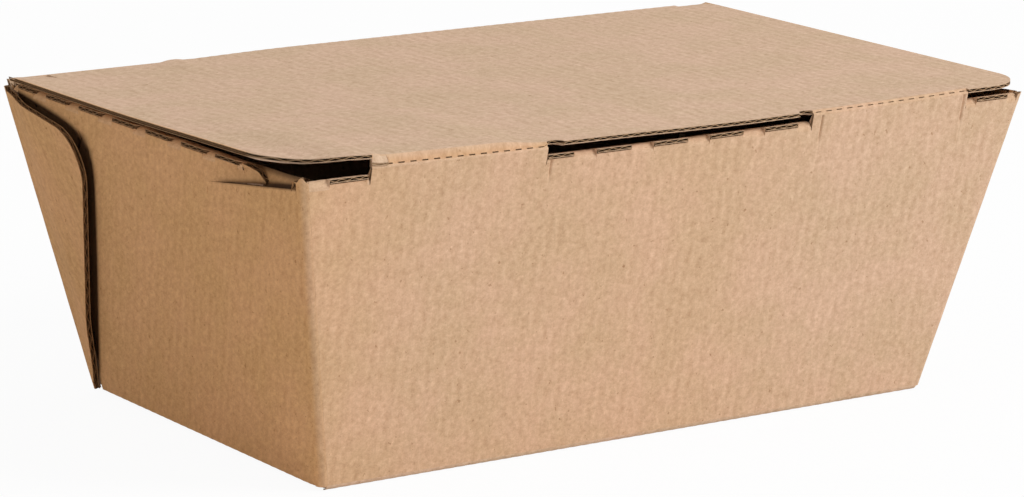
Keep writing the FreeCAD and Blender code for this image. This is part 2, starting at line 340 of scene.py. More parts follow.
# %% Outline of the wall's columns
side_at_rim = base_half_length + side_slope * wall_rim - side_inset
scores = [-38.0, 42.5, 87.5]
score_steps = [x + d for x in scores for d in (-0.5, -0.22, 0.0, 0.22, 0.5)]
wall_columns = columns(-side_at_rim, side_at_rim, doubled(hinge_cuts + tongues) + score_steps)
wall_top = np.full(len(wall_columns), wall_rim - lip_touch)
wall_top[spans_mask(wall_columns, hinge_cuts)] = cut_top / math.cos(tilt_y)
wall_top[spans_mask(wall_columns, tongues)] = wall_hinge - crease_touch
side_line = (abs(wall_columns) - base_half_length + side_inset) / side_slope
wall_foot = np.maximum(bottom_touch, side_line)
lip_end = 105.3
wall_top = np.where(abs(wall_columns) > lip_end, np.maximum(wall_rim - 0.3, wall_foot), wall_top)
print(len(wall_columns), "columns over the hinge wall")


# %% Build the hinge wall
def on_scored_wall(across, along, depth):
    """The hinge wall with its three short score lines, pressed in by 0.5 * exp(-(d / 0.25)^2)."""
    score = sum(np.exp(-((across - x) / 0.25) ** 2) for x in scores)
    return on_wall(across, along, depth + 0.5 * score * smooth(along - wall_rim + 6.5))


wall_pieces = Pieces()
wall_rows = np.concatenate([np.linspace(0, 0.9, 8), [0.92, 0.94, 0.96, 0.98, 1]])
across, along = ruled(wall_columns, wall_foot, wall_top, wall_rows)
from_top = along - wall_top[:, None]
squeeze = np.where(spans_mask(wall_columns, tongues)[:, None], creased(from_top), crushed(from_top))
left_half, left_fold = smooth((60 - wall_columns) / 60), smooth((-wall_columns - 60) / 50)
right_warmth = 0.12
wall_tone = (right_warmth + 0.14 * left_half + 0.24 * left_fold)[:, None]
corrugate(wall_pieces, on_scored_wall, across, along, warmth=wall_tone, crush=squeeze)
print("hinge wall", wall_pieces.count, "points")

# %% Hinge wall's lips
arc_rows = np.concatenate([np.linspace(-lip_touch, lip_touch, 9), [3.0, lip_width]]) + wall_rim
cut_rows = np.linspace(0.1, lip_width, 11) + wall_rim
flat_lip = folded([(-rim_half_width, rim_height), lip_head], [], wall_rim)
lip_gap = 0.2
lip_spans = [(-slot_half + lip_gap, slot_half - lip_gap), (tongue_end + lip_gap, lip_end),
             (-lip_end, -tongue_end - lip_gap)]


def lip(low, high, cuts, place_arc, place_cut, far_rows, near_rows, pieces, **more):
    """A rim lip: bridged columns go round the fold, cut columns start at the squeezed raw end."""
    across = columns(low, high, doubled(cuts))
    cut = spans_mask(across, cuts)[:, None]
    along = np.where(cut, near_rows[None, :], far_rows[None, :])

    def place(a, s, depth):
        return np.where(cut[..., None], place_cut(a, s, depth), place_arc(a, s, depth))

    squeeze = crushed(along - near_rows[0], lip_crush, 2.5) * cut
    corrugate(pieces, place, across[:, None], along, crush=squeeze, **more)


for low, high in lip_spans:
    lip(low, high, hinge_cuts, lambda a, s, d: on_wall(a, s, d, lip_line),
        lambda a, s, d: on_wall(a, s, d, flat_lip), arc_rows, cut_rows, wall_pieces, warmth=usual_warmth)
print("with its lips", wall_pieces.count, "points")

# %% [markdown]
# ## Base and far wall
#
# The base is the same sheet, folded round at both long sides. The far wall has a plain cut top,
# because the lid's tuck flap goes in behind it.

# %% Base
base_line = folded([(half_width(6), 6), (base_half_width, 0), (-base_half_width, 0), (-half_width(6), 6)],
                   [bottom_radius, bottom_radius], -base_half_width - 6 / math.cos(tilt_y))
end_layer = board / math.cos(tilt_x)
end_foot = base_half_length - end_layer
end_touch = bottom_radius * math.tan((math.pi / 2 - tilt_x) / 2)
fold_shares = np.linspace(-bottom_touch, bottom_touch, 7)
base_rows = np.concatenate([-base_half_width + fold_shares, np.linspace(-50, 50, 11),
                            base_half_width + fold_shares])
base_columns = columns(-end_foot + end_touch, end_foot - end_touch)
base_pieces = Pieces()
corrugate(base_pieces, lambda a, s, d: on_wall(a, s, d, base_line), base_columns[:, None], base_rows[None, :])
corner_bits = columns(end_foot - end_touch, base_half_length - 1.6)
for side in (-1, 1):
    for end in (-1, 1):
        corrugate(base_pieces, lambda a, s, d: on_wall(a, s, d, base_line), corner_bits[:, None] * end,
                  (side * base_half_width + fold_shares)[None, :])
print("base", base_pieces.count, "points")

# %% Far wall
far_extra = board / math.cos(tilt_x)


def on_far_wall(across, along, depth):
    """The hinge wall's line seen in a mirror across the XZ plane."""
    yz = wall_line(along, depth)
    return np.stack([np.broadcast_to(across, yz.shape[:-1]), -yz[..., 0], yz[..., 1]], -1)


far_at_rim = side_at_rim + far_extra
far_columns = columns(-far_at_rim, far_at_rim, [-90.4, 90.4])
far_side = (abs(far_columns) - base_half_length - far_extra + side_inset) / side_slope
far_pieces = Pieces()
across, along = ruled(far_columns, np.maximum(bottom_touch, far_side), wall_rim, wall_rows)
corrugate(far_pieces, on_far_wall, across, along, warmth=0.1, crush=crushed(along - wall_rim))
print("far wall", far_pieces.count, "points")

# %% [markdown]
# ## Corners and end flaps
#
# The hinge wall's flaps fold round the slanting corners, so their flutes end up leaning by the
# sum of both flares, 23 degrees, which is what the stripes on the box's end show. On a flap the
# grid's columns keep to the flutes: `y = -54 + (across - 91) / cos(lean) - s * tan(lean)`. The
# far wall's smaller flaps are made the same way in a mirror, one board further out.

# %% Corners
lean = math.atan(side_slope) + math.atan((rim_half_width - base_half_width) / end_rim)
wall_normal = np.array([0, -math.cos(tilt_y), -math.sin(tilt_y)])
end_normal = np.array([math.cos(tilt_x), 0, -math.sin(tilt_x)])
corner_turn = math.acos(wall_normal @ end_normal)
corner_steps, corner_foot = 15, 1.0
print("end flutes lean by", round(math.degrees(lean), 1), "degrees")


def on_corner(share, z, depth, extra=0.0):
    """Slanted fold: centre line + (radius - depth) * normal, whose turn follows share."""
    share, z, depth = np.broadcast_arrays(share, z, depth)
    first, last = np.sin((1 - share) * corner_turn), np.sin(share * corner_turn)
    normal = (first[..., None] * wall_normal + last[..., None] * end_normal) / math.sin(corner_turn)
    back = corner_radius * (wall_normal + end_normal) / (1 + wall_normal @ end_normal)
    edge = np.stack([half_length(z) + extra, -half_width(z), z], -1)
    point = edge - back + (corner_radius - depth)[..., None] * normal
    along = np.array([flare_x, -flare_y, 1.0])
    return point + (z - point[..., 2])[..., None] * along


# %% Build the corners
# Tone of each end: the left end's browner colour is partly its paper and partly painted shade of the end in
# half shade.
end_warmth = {1: 0.4, -1: 1.0}
fold_warmth = {1: right_warmth, -1: 0.55}


def corner(pieces, extra, top, ends, far=False, wall_warmth=usual_warmth):
    """A corner fold at one end or at both; top is a height for each column."""
    shares = np.linspace(0, 1, corner_steps)
    z = corner_foot + (np.asarray(top) - corner_foot)[:, None] * shares[None, :]
    s = z / math.cos(tilt_y)
    across = base_half_length + extra + side_slope * s + (2 * shares[:, None] - 1) * side_inset

    def place(a, along, depth):
        points = on_corner(shares[:, None], z, depth, extra)
        return points * (1, -1, 1) if far else bowed(points)

    for end in ends:
        # Towards the end, the fold takes on the end's tone, with its painted shade.
        turn_warmth = wall_warmth + (end_warmth[end] - wall_warmth) * smooth(shares * 1.6 - 0.4)[:, None]
        corrugate(pieces, place, across, s, warmth=turn_warmth, ends=(end,))


peak = np.exp(-((np.linspace(0, 1, corner_steps) - 0.5) / 0.3) ** 2)
corner(wall_pieces, 0.0, rim_height - 0.5 + 1.5 * peak, (-1,), wall_warmth=fold_warmth[-1])
corner(wall_pieces, 0.0, rim_height - 0.6 + 0.5 * peak, (1,), wall_warmth=fold_warmth[1])
corner(far_pieces, far_extra, np.full(corner_steps, rim_height - 1.5), (1, -1), far=True)
print("with their corners", wall_pieces.count, "and", far_pieces.count, "points")


# %% Flutes on the end flaps
def flap_y(across, s):
    """Where the flute at across lies along the end, s up the panel: the lesson's formula for y."""
    return -base_half_width + (across - base_half_length) / math.cos(lean) - s * math.tan(lean)


def flap_across(y, s):
    """The same formula solved for across."""
    return base_half_length + (y + base_half_width + s * math.tan(lean)) * math.cos(lean)


fold_slope = (rim_half_width - base_half_width) / end_rim
fold_inset = corner_reach * math.hypot(1, fold_slope)


def fold_limit(across):
    """Height up the panel at which a flute's column meets the slanted corner fold."""
    return ((across - base_half_length) / math.cos(lean) - fold_inset) / (math.tan(lean) - fold_slope)


# %% The ends seen from the front
end_line = folded([(0, 0), (-base_half_length, 0), (-half_length(100), 100)], [bottom_radius],
                  -base_half_length)
end_lip_run = [(-rim_half_length, rim_height), (0, rim_height - lip_dip * rim_half_length)]
end_lip_line = folded([(-base_half_length, 0)] + end_lip_run, [lip_radius])
flat_end_lip = folded(end_lip_run, [], end_rim)
end_lip_touch = lip_radius * math.tan((math.pi / 2 + tilt_x + math.atan(lip_dip)) / 2)

# %% Dent and diagonal crease
dent_corner, dent_far = (-66.5, 77.2 / math.cos(tilt_x)), (-27.0, 71.5 / math.cos(tilt_x))
dent_depth, slit_gap = 1.3, 0.03
# Strengths of the shade painted along the dent and beside the far flap's edge.
dent_shade, edge_shade = 0.8, 0.88
dent_slope = (dent_far[1] - dent_corner[1]) / (dent_far[0] - dent_corner[0])
ear_head, ear_foot = (-45.0, end_rim - 0.4), (-53.0, 77.0)
diagonal_foot, diagonal_head = (-51.0, 0.0), (-25.5, 70.5 / math.cos(tilt_x))


def pressed(y, s, start, end, radius, depth, fade=4.0):
    """Depth of a groove depth * exp(-(d / radius)^2) about a line, fading at the line's ends."""
    run = np.subtract(end, start)
    length = math.hypot(*run)
    t = ((y - start[0]) * run[0] + (s - start[1]) * run[1]) / length
    d = ((y - start[0]) * run[1] - (s - start[1]) * run[0]) / length
    return depth * np.exp(-(d / radius) ** 2) * smooth((t + fade) / fade) * smooth((length + fade - t) / fade)


def dent_line(across):
    """Way up the flap at which a flute's column meets the dent's straight line."""
    level = (across - base_half_length) / math.cos(lean) - base_half_width - dent_corner[0]
    return (dent_corner[1] + dent_slope * level) / (1 + dent_slope * math.tan(lean))


# %% Where the far wall's flap lies over the hinge wall's
far_foot, far_tip = (53.0, 0.9), (68.9, 79.0)
shoulder, shoulder_radius, shoulder_blend = (28.5, 73.1), 11.0, 5.5
stand_off, hollow = 1.8, 1.1


def inside_far_flap(y, s):
    """Millimetres inside both free edges of the far wall's flap, below zero in the open.

    It is the smaller of both distances, rounded at the shoulder with the blend b:
    -b * ln(exp(-side / b) + exp(-top / b)).
    """
    side = y - far_foot[0] - (shoulder[0] - far_foot[0]) * (s - far_foot[1]) / (shoulder[1] - far_foot[1])
    top = shoulder[1] + (far_tip[1] - shoulder[1]) * (y - shoulder[0]) / (far_tip[0] - shoulder[0]) - s
    return -shoulder_blend * np.logaddexp(-side / shoulder_blend, -top / shoulder_blend)


# %% How the hinge wall's flap sinks, and the shade painted on it
def end_sink(y, s):
    """How far the hinge flap's face sinks: creases, a step above the dent, and under the far flap."""
    over = s - dent_corner[1] - dent_slope * (y - dent_corner[0])
    share = smooth((dent_far[0] - y) / 22)
    step = dent_depth * share * (over > slit_gap / 2) * smooth((end_rim + 0.2 - s) / 2.4)
    fold = pressed(y, s, (-base_half_width + 2.3, 0), (-rim_half_width + 2.3, end_rim), 0.45, 0.16)
    diagonal = pressed(y, s, diagonal_foot, diagonal_head, 0.8, 0.12)
    return step + fold + diagonal + hollow * smooth((inside_far_flap(y, s) + 0.5) / 1.6)


def flap_warmth_and_shade(across, s, end):
    """Warmth and painted shade of the hinge flap: the end's own warmth in the open, up to 2 in the crevices.

    The painted shade is the larger of two: one that falls off as exp(-(over / 0.7)^2) above the dent's
    line, and one beside the far wall's flap.
    """
    y, over = flap_y(across, s), s - dent_line(across)
    # Shade painted along the dent's line and in the crevice beside the far wall's flap.
    along_dent = smooth((dent_far[0] - 1 - y) / 8) * (0.55 + 0.45 * smooth((-40 - y) / 20))
    above = np.exp(-(over / 0.7) ** 2) + 0.3 * np.exp(-(over / 4) ** 2)
    line = np.where(over > 0.01, above, np.exp(-(over / 0.3) ** 2))
    beside = smooth((inside_far_flap(y, s) + 1.9) / 1.7)
    shade = np.clip(np.maximum(dent_shade * line * along_dent, edge_shade * beside), 0, 1)
    return end_warmth[end] + (1 - end_warmth[end]) * smooth(shade / 0.3) + shade


def on_end(y, s, depth, line=end_line, out=0.0):
    """Point of an end panel, out millimetres outside the hinge flap's face."""
    xz = line(s, depth - out)
    return np.stack([-xz[..., 0], np.broadcast_to(y, xz.shape[:-1]), xz[..., 1]], -1)


def on_flap(across, s, depth, line=end_line):
    """Point of the hinge wall's flap: on the end panel, sunk by end_sink."""
    y = flap_y(across, s)
    return bowed(on_end(y, s, depth + end_sink(y, s), line))


# %% Outline of the flap's columns
end_cuts = [(-42.4, -33.2), (-27.7, -17.4), (-11.2, -0.5), (5.4, 15.9), (22.6, 32.6), (39.3, 49.3),
            (56.0, 64.0)]
flap_foot_s = 0.9
hidden_foot, hidden_head = 50.5, 68.0
hidden_slope = (hidden_head - hidden_foot) / end_rim
end_lip_start, end_lip_end = -44.2, 66.5
cuts_across = [(flap_across(a, end_rim), flap_across(b, end_rim)) for a, b in end_cuts]
lip_start_across, lip_end_across = flap_across(end_lip_start, end_rim), flap_across(end_lip_end, end_rim)
dent_across = [flap_across(y, s) for y, s in (dent_corner, dent_far)]
flap_columns = columns(
    flap_across(-base_half_width + fold_inset, 0) + 0.2, flap_across(hidden_head, end_rim) - 0.3,
    doubled(cuts_across) + doubled([dent_across]))
slit = spans_mask(flap_columns, [dent_across])
flap_top = np.full(len(flap_columns), end_rim - end_lip_touch)
flap_top[spans_mask(flap_columns, cuts_across)] = cut_top / math.cos(tilt_x)
flap_top[flap_columns > lip_end_across] = end_rim - 1.0
flap_top[flap_columns < lip_start_across] = end_rim - 0.4
flap_top = np.where(slit, dent_line(flap_columns), np.minimum(flap_top, fold_limit(flap_columns)))
flap_foot = np.maximum(flap_foot_s, ((flap_columns - base_half_length) / math.cos(lean)
                                     - base_half_width - hidden_foot) / (math.tan(lean) + hidden_slope))
flap_top = np.maximum(flap_top, flap_foot + 0.02)
print(len(flap_columns), "columns over an end flap")

# %% Rows of the flap, closer together near its top
low_rows, high_rows = np.linspace(0, 1, 19), np.linspace(0, 1, 10)
closer_from = 0.93 * flap_top
low_part = flap_foot[:, None] + (closer_from - flap_foot)[:, None].clip(0.01) * low_rows[None, :-1]
high_start = np.maximum(closer_from, flap_foot + 0.011)[:, None]
flap_along = np.concatenate([low_part, high_start + (flap_top[:, None] - high_start) * high_rows[None, :]], 1)
squeeze = crushed(flap_along - flap_top[:, None], 0.7, 0.6) * slit[:, None]

# %% The strip between dent and rim, whose corner end is cut to a rounded ear
ear_columns = columns(*dent_across, doubled(cuts_across))
ear_across = [flap_across(*ear_foot), flap_across(*ear_head)]
ear_share = (ear_columns - ear_across[0]) / (ear_across[1] - ear_across[0])
ear_top = ear_foot[1] + (ear_head[1] - ear_foot[1]) * np.sin(np.clip(ear_share, 0, 1) * math.pi / 2)
ear_top = np.where(ear_share > 1, end_rim - end_lip_touch, ear_top)
ear_top[spans_mask(ear_columns, cuts_across)] = cut_top / math.cos(tilt_x)
ear_on = ear_share > 0
ear_columns, ear_top = ear_columns[ear_on], ear_top[ear_on]

# %% Build the hinge wall's end flaps
flap_pieces = {1: Pieces(), -1: Pieces()}
ear_rows = np.linspace(0, 1, 13) ** 1.5
for end, pieces in flap_pieces.items():
    corrugate(pieces, on_flap, flap_columns[:, None], flap_along, crush=squeeze,
              warmth=flap_warmth_and_shade(flap_columns[:, None], flap_along, end), ends=(end,))
    across, along = ruled(ear_columns, dent_line(ear_columns) + slit_gap, ear_top, ear_rows)
    corrugate(pieces, on_flap, across, along, warmth=flap_warmth_and_shade(across, along, end), ends=(end,))

end_arc_rows = np.concatenate([np.linspace(-end_lip_touch, end_lip_touch, 9), [3.0, lip_width]]) + end_rim
end_cut_rows = np.linspace(0.1, lip_width, 11) + end_rim
for end, pieces in flap_pieces.items():
    lip(lip_start_across, lip_end_across, cuts_across, lambda a, s, d: on_flap(a, s, d, end_lip_line),
        lambda a, s, d: on_flap(a, s, d, flat_end_lip), end_arc_rows, end_cut_rows, pieces,
        warmth=0.8 * end_warmth[end], ends=(end,))
print("end flap", flap_pieces[1].count, "points")

# %% Corner web
web_low, web_high = -68.6, -43.5
web_sink, web_tilt, web_shade = 1.7, 0.45, 0.7
web_columns = columns(flap_across(web_low, end_rim), flap_across(web_high, end_rim), step=0.3)
web_foot = dent_line(web_columns) - 0.6
web_share = (flap_y(web_columns, end_rim) - web_low) / (web_high - web_low)
web_top = end_rim - 0.3 * smooth(web_share * 4) - 0.9 * web_share


def on_web(across, s, depth):
    """Flap's face sunk by web_sink and turned inwards by web_tilt above the dent."""
    y = flap_y(across, s)
    base_s = dent_line(across) - 0.5
    over = np.maximum(s - base_s, 0)
    foot = on_end(y, np.minimum(s, base_s), depth * 0 + web_sink)
    rise, out = np.cos(tilt_x - web_tilt), np.sin(tilt_x - web_tilt)
    x = foot[..., 0] + over * out - depth * rise
    return bowed(np.stack([x, y + 0 * depth, foot[..., 2] + over * rise + depth * out], -1))


for end, pieces in flap_pieces.items():
    across, along = ruled(web_columns, web_foot, web_top, np.linspace(0, 1, 13))
    tone = flap_warmth_and_shade(across, np.maximum(along, dent_line(across) + 0.02), end)
    # Painted shade along the web's top, where the lid shades it.
    tone = tone + web_shade * smooth(1 - (web_top[:, None] - along) / 1.8)
    corrugate(pieces, on_web, across, along, warmth=tone, ends=(end,))
print("with its corner web", flap_pieces[1].count, "points")


# %% Far wall's end flaps
def rounded_point(before, corner_point, after, radius, count=24):
    """Points of the arc of a radius that touches both lines at a corner."""
    before, corner_point, after = (np.array(p, float) for p in (before, corner_point, after))
    u, v = before - corner_point, after - corner_point
    u, v = u / np.hypot(*u), v / np.hypot(*v)
    half = math.acos(u @ v) / 2
    centre = corner_point + (u + v) / np.hypot(*(u + v)) * radius / math.sin(half)
    first, last = corner_point + u * radius / math.tan(half), corner_point + v * radius / math.tan(half)
    a0, a1 = (math.atan2(*(p - centre)[::-1]) for p in (first, last))
    sweep = (a1 - a0 + math.pi) % (2 * math.pi) - math.pi
    angle = a0 + sweep * np.linspace(0, 1, count)
    return centre + radius * np.stack([np.cos(angle), np.sin(angle)], -1)


edge_line = np.concatenate([[far_foot], rounded_point(far_foot, shoulder, far_tip, shoulder_radius),
                            [far_tip]])
edge_across = flap_across(-edge_line[:, 0], edge_line[:, 1])
widest = edge_across.argmax()
far_flap_columns = columns(flap_across(-base_half_width + fold_inset, 0.9) + 0.1, edge_across[widest] - 0.02,
                           list(edge_across[1:-1]))
low_edge = np.interp(far_flap_columns, edge_across[:widest + 1], edge_line[:widest + 1, 1])
high_edge = np.interp(far_flap_columns, edge_across[widest:][::-1], edge_line[widest:, 1][::-1])
high_edge = np.minimum(high_edge, fold_limit(far_flap_columns))


def on_far_flap(across, s, depth):
    """Mirrored end panel, one board out, whose free side stands off by stand_off."""
    y = -flap_y(across, s)
    from_fold = base_half_width + fold_slope * s - fold_inset - y
    out = far_extra * math.cos(tilt_x) + stand_off * smooth(from_fold / 12)
    return on_end(y, s, depth, out=out)


across, along = ruled(far_flap_columns, low_edge, high_edge, np.linspace(0, 1, 21))
for end in (1, -1):
    corrugate(far_pieces, on_far_flap, across, along, warmth=end_warmth[end], ends=(end,))
print("far wall with its flaps", far_pieces.count, "points")

# %% End walls
end_wall_top = (rim_height - board - 0.9) / math.cos(tilt_x)
chamfer_foot, chamfer_head = 71.0, -44.0
end_wall_line = folded([(0, 0), (-end_foot, 0), (-end_foot - flare_x * 100, 100)], [bottom_radius], -end_foot)
wall_s = columns(end_foot - end_touch, end_foot + end_wall_top,
                 [end_foot + end_touch * t for t in (-0.5, 0, 0.5, 1)])
end_wall_half = base_half_width - board - 0.9 + np.clip(wall_s - end_foot, 0, None) * fold_slope


def on_end_wall(across, along, depth):
    """Point of an end wall: y is the way along the flutes, x and z come from the folded line."""
    xz = end_wall_line(across - end_foot, depth)
    return np.stack([-xz[..., 0], np.broadcast_to(along, xz.shape[:-1]), xz[..., 1]], -1)


cut_back = np.clip((wall_s - end_foot - chamfer_foot) / (end_wall_top - chamfer_foot), 0, 1)
near_side = -end_wall_half + (chamfer_head + end_wall_half) * cut_back
across, along = ruled(wall_s, near_side, end_wall_half, np.linspace(0, 1, 9))
corrugate(base_pieces, on_end_wall, across, along, ends=(1, -1))
print("base with its end walls", base_pieces.count, "points")

# %% [markdown]
# ## Lid and tuck flap
#
# The lid is the same sheet again, beyond the crease. Its near corners are rounded, two round
# notches keep the slot's ends from tearing, and beyond the far fold the tuck flap narrows and
# rounds off so that it slides in behind the far wall.

# %% Sizes of the lid
lid_half, lid_far_y = 109.0, 67.6
lid_depth = lid_far_y - hinge_y
lid_tilt = math.asin(0.8 / lid_depth)
tuck_depth, tuck_half, tuck_taper, tuck_corner = 26.0, 98.0, 5.0, 12.0
ear_radius, ear_x = 2.3, 37.4
near_radii = {-1: 25.0, 1: 13.0}

turned = np.array([[math.cos(lid_tilt), math.sin(lid_tilt)], [-math.sin(lid_tilt), math.cos(lid_tilt)]])
hinge_point = np.array([hinge_y, hinge_z])
tuck_heading = np.array([-math.sin(tilt_y), -math.cos(tilt_y)])
lid_far_point = hinge_point + turned @ (lid_depth, 0)
lid_line = folded([hinge_point, lid_far_point, lid_far_point + 40 * tuck_heading], [lip_radius])
print("lid", 2 * lid_half, "by", round(lid_depth, 1), "mm")


def lid_give(points, across, along):
    """Lid's own warps: a ridge beyond the crease on the left, a sagging far edge with a bump.

    The ridge stands 0.5 to 2.1 mm above the crease, rises over 1.6 mm and fades over 90 mm.
    """
    x, y, z = points[..., 0], points[..., 1], points[..., 2]
    ridge = 0.5 * smooth((25 - x) / 50) + 1.1 * smooth((-x - 40) / 14) + 0.5 * smooth((-x - 84) / 5)
    ridge = ridge - 1.0 * smooth((-x - 92) / 12)
    ridge = ridge * np.where(spans_mask(across, tongues), smooth(along / 1.6), 1.0)
    lift = ridge * (1 - smooth((along - 4) / 90)) * (along > 0)
    left, far = smooth((-x - 25) / 50), smooth((y - 10) / 55)
    sag = 0.7 * left * far * (1 - smooth((-x - 95) / 14))
    bump = 0.5 * np.exp(-((x + 62) / 3.0) ** 2) * smooth((y - 45) / 20)
    return np.stack([x, y, z + lift - sag * (z > 70) + bump * (z > 70)], -1)


def on_lid(across, along, depth, line=lid_line):
    """Point of the lid or its crease: x is the way over the flutes, y and z come from the line."""
    yz = line(along, depth)
    points = np.stack([np.broadcast_to(across, yz.shape[:-1]), yz[..., 0], yz[..., 1]], -1)
    return lid_give(bowed(points), across, along)


# %% Outline of the lid's columns
near_arc = np.sin(np.linspace(0, np.pi / 2, 16))
lid_corners = doubled(tongues) + [s * x for x in (ear_x - ear_radius, ear_x + ear_radius) for s in (-1, 1)]
lid_corners += [side * (lid_half - r + r * t) for side, r in near_radii.items() for t in near_arc]
lid_corners += [s * (ear_x + ear_radius * math.cos(t)) for t in np.linspace(0, np.pi, 15) for s in (-1, 1)]
lid_corners += doubled([(-tuck_half, tuck_half)])
lid_columns = columns(-lid_half, lid_half, lid_corners)
near_edge = np.where(spans_mask(lid_columns, tongues), crease_touch, 0.05)
ear_reach = np.sqrt(np.clip(ear_radius ** 2 - (abs(lid_columns) - ear_x) ** 2, 0, None))
near_edge = np.maximum(near_edge, np.where(abs(lid_columns) < slot_half, ear_reach, 0))
for side, r in near_radii.items():
    past = np.clip(lid_columns * side - (lid_half - r), 0, r)
    near_edge = np.where(lid_columns * side > lid_half - r, r - np.sqrt(r ** 2 - past ** 2), near_edge)
tuck_turn = math.pi / 2 + tilt_y - lid_tilt
far_touch = lip_radius * math.tan(tuck_turn / 2)
lid_end = np.where(abs(lid_columns) < tuck_half, lid_depth - far_touch, lid_depth)
lid_far_radius = 1.5
past = np.clip(abs(lid_columns) - lid_half + lid_far_radius, 0, lid_far_radius)
lid_end = lid_end - lid_far_radius + np.sqrt(lid_far_radius ** 2 - past ** 2)
print(len(lid_columns), "columns over the lid")

# %% Build the lid
lid_pieces, tuck_pieces = Pieces(), Pieces()
near_rows = np.array([0, 0.3, 0.7, 1.1, 1.6, 2.4, 3.6, 6.0]) / lid_depth
across, along = ruled(lid_columns, near_edge, lid_end, np.concatenate([near_rows, np.linspace(0.08, 1, 19)]))
at_crease = spans_mask(lid_columns, tongues)[:, None]
from_edge = along - near_edge[:, None]
squeeze = np.where(at_crease, 0, crushed(from_edge)) + crushed(lid_half - abs(across))
squeeze = np.minimum(squeeze, edge_crush) + np.where(at_crease, creased(from_edge), 0)
side_warmth, side_band = 0.9, 0.6
lid_tone = side_warmth * smooth((abs(across) - lid_half + side_band) / 0.5)
corrugate(lid_pieces, on_lid, across, along, warmth=lid_tone, crush=squeeze)
print("lid panel", lid_pieces.count, "points")

# %% Tuck flap
side_run = rounded_point((tuck_half, lid_depth), (tuck_half - tuck_taper, lid_depth + tuck_depth),
                         (0, lid_depth + tuck_depth), tuck_corner)
tuck_columns = columns(-tuck_half + 0.05, tuck_half - 0.05, [s * x for x in side_run[:, 0] for s in (-1, 1)])
tuck_edge = np.interp(abs(tuck_columns), np.concatenate([side_run[::-1, 0], [tuck_half]]),
                      np.concatenate([side_run[::-1, 1], [lid_depth]]))
tuck_edge = np.maximum(tuck_edge, lid_depth + far_touch + 0.1)
tuck_fixed = np.broadcast_to(lid_depth + np.linspace(-far_touch, far_touch, 11), (len(tuck_columns), 11))
tuck_free = tuck_fixed[:, -1:] + (tuck_edge[:, None] - tuck_fixed[:, -1:]) * np.linspace(0, 1, 7)[None, 1:]
corrugate(tuck_pieces, on_lid, tuck_columns[:, None], np.concatenate([tuck_fixed, tuck_free], 1))
print("tuck flap", tuck_pieces.count, "points")

# %% [markdown]
# ## The perforated crease
#
# Two strips of the outer liner join the tongues to the lid. They are pierced every 3.25 mm so
# that they fold easily, and a backing of medium closes the holes.

# %% Crease strips
perforation_pitch, perforation_length = 3.25, 1.7
perforation_width, groove_depth = 0.44, 0.25
crease_paper, backing_depth = 0.3, 0.6
crease_shade = {1: 0.05, -1: 0.35}
blend_half = 0.7
crease_radius = crease_touch / math.tan((math.pi / 2 + tilt_y - lid_tilt) / 2)
crease_line = folded([hinge_point - 20 * np.array([-math.sin(tilt_y), math.cos(tilt_y)]), hinge_point,
                      lid_far_point], [crease_radius], -20)
crease_pieces = Pieces()
count = int((tongue_end - slot_half) / perforation_pitch)
first = slot_half + (tongue_end - slot_half - (count - 1) * perforation_pitch) / 2

# %% Build the crease strips
for side in (-1, 1):
    middles = first + np.arange(count) * perforation_pitch
    cuts = np.stack([middles - perforation_length / 2, middles + perforation_length / 2], -1)
    ends = np.concatenate([[slot_half], cuts.ravel(), [tongue_end]])
    bridges = [tuple(sorted((side * a, side * b))) for a, b in zip(ends[::2], ends[1::2])]
    whole = tuple(sorted((side * slot_half, side * tongue_end)))
    low, high = -perforation_width / 2, perforation_width / 2
    strips = [([whole], -crease_touch, low, 0.0, KRAFT), (bridges, low, high, 0.0, KRAFT),
              ([whole], high, crease_touch, 0.0, KRAFT),
              ([whole], -crease_touch, crease_touch, backing_depth, FLUTE)]
    for spans, first_row, last_row, depth, face in strips:
        for span in spans:
            across = np.linspace(*span, max(3, int((span[1] - span[0]) / 0.8)))[:, None]
            along = np.linspace(first_row, last_row, 8)[None, :] + 0 * across
            across = across + 0 * along
            sunk = depth + groove_depth * np.exp(-(along / 0.5) ** 2)
            outer = on_lid(across, along, sunk, crease_line)
            inner = on_lid(across, along, sunk + crease_paper, crease_line)
            tone = usual_warmth + crease_shade[side] * np.exp(-((along - 0.3) / 0.6) ** 2)
            flat = np.stack([across, wall_hinge + along], -1)
            crease_pieces.layer(outer, inner, flat, (face, FLUTE, EDGE), tone)
print("crease strips", crease_pieces.count, "points,", 2 * count, "holes")
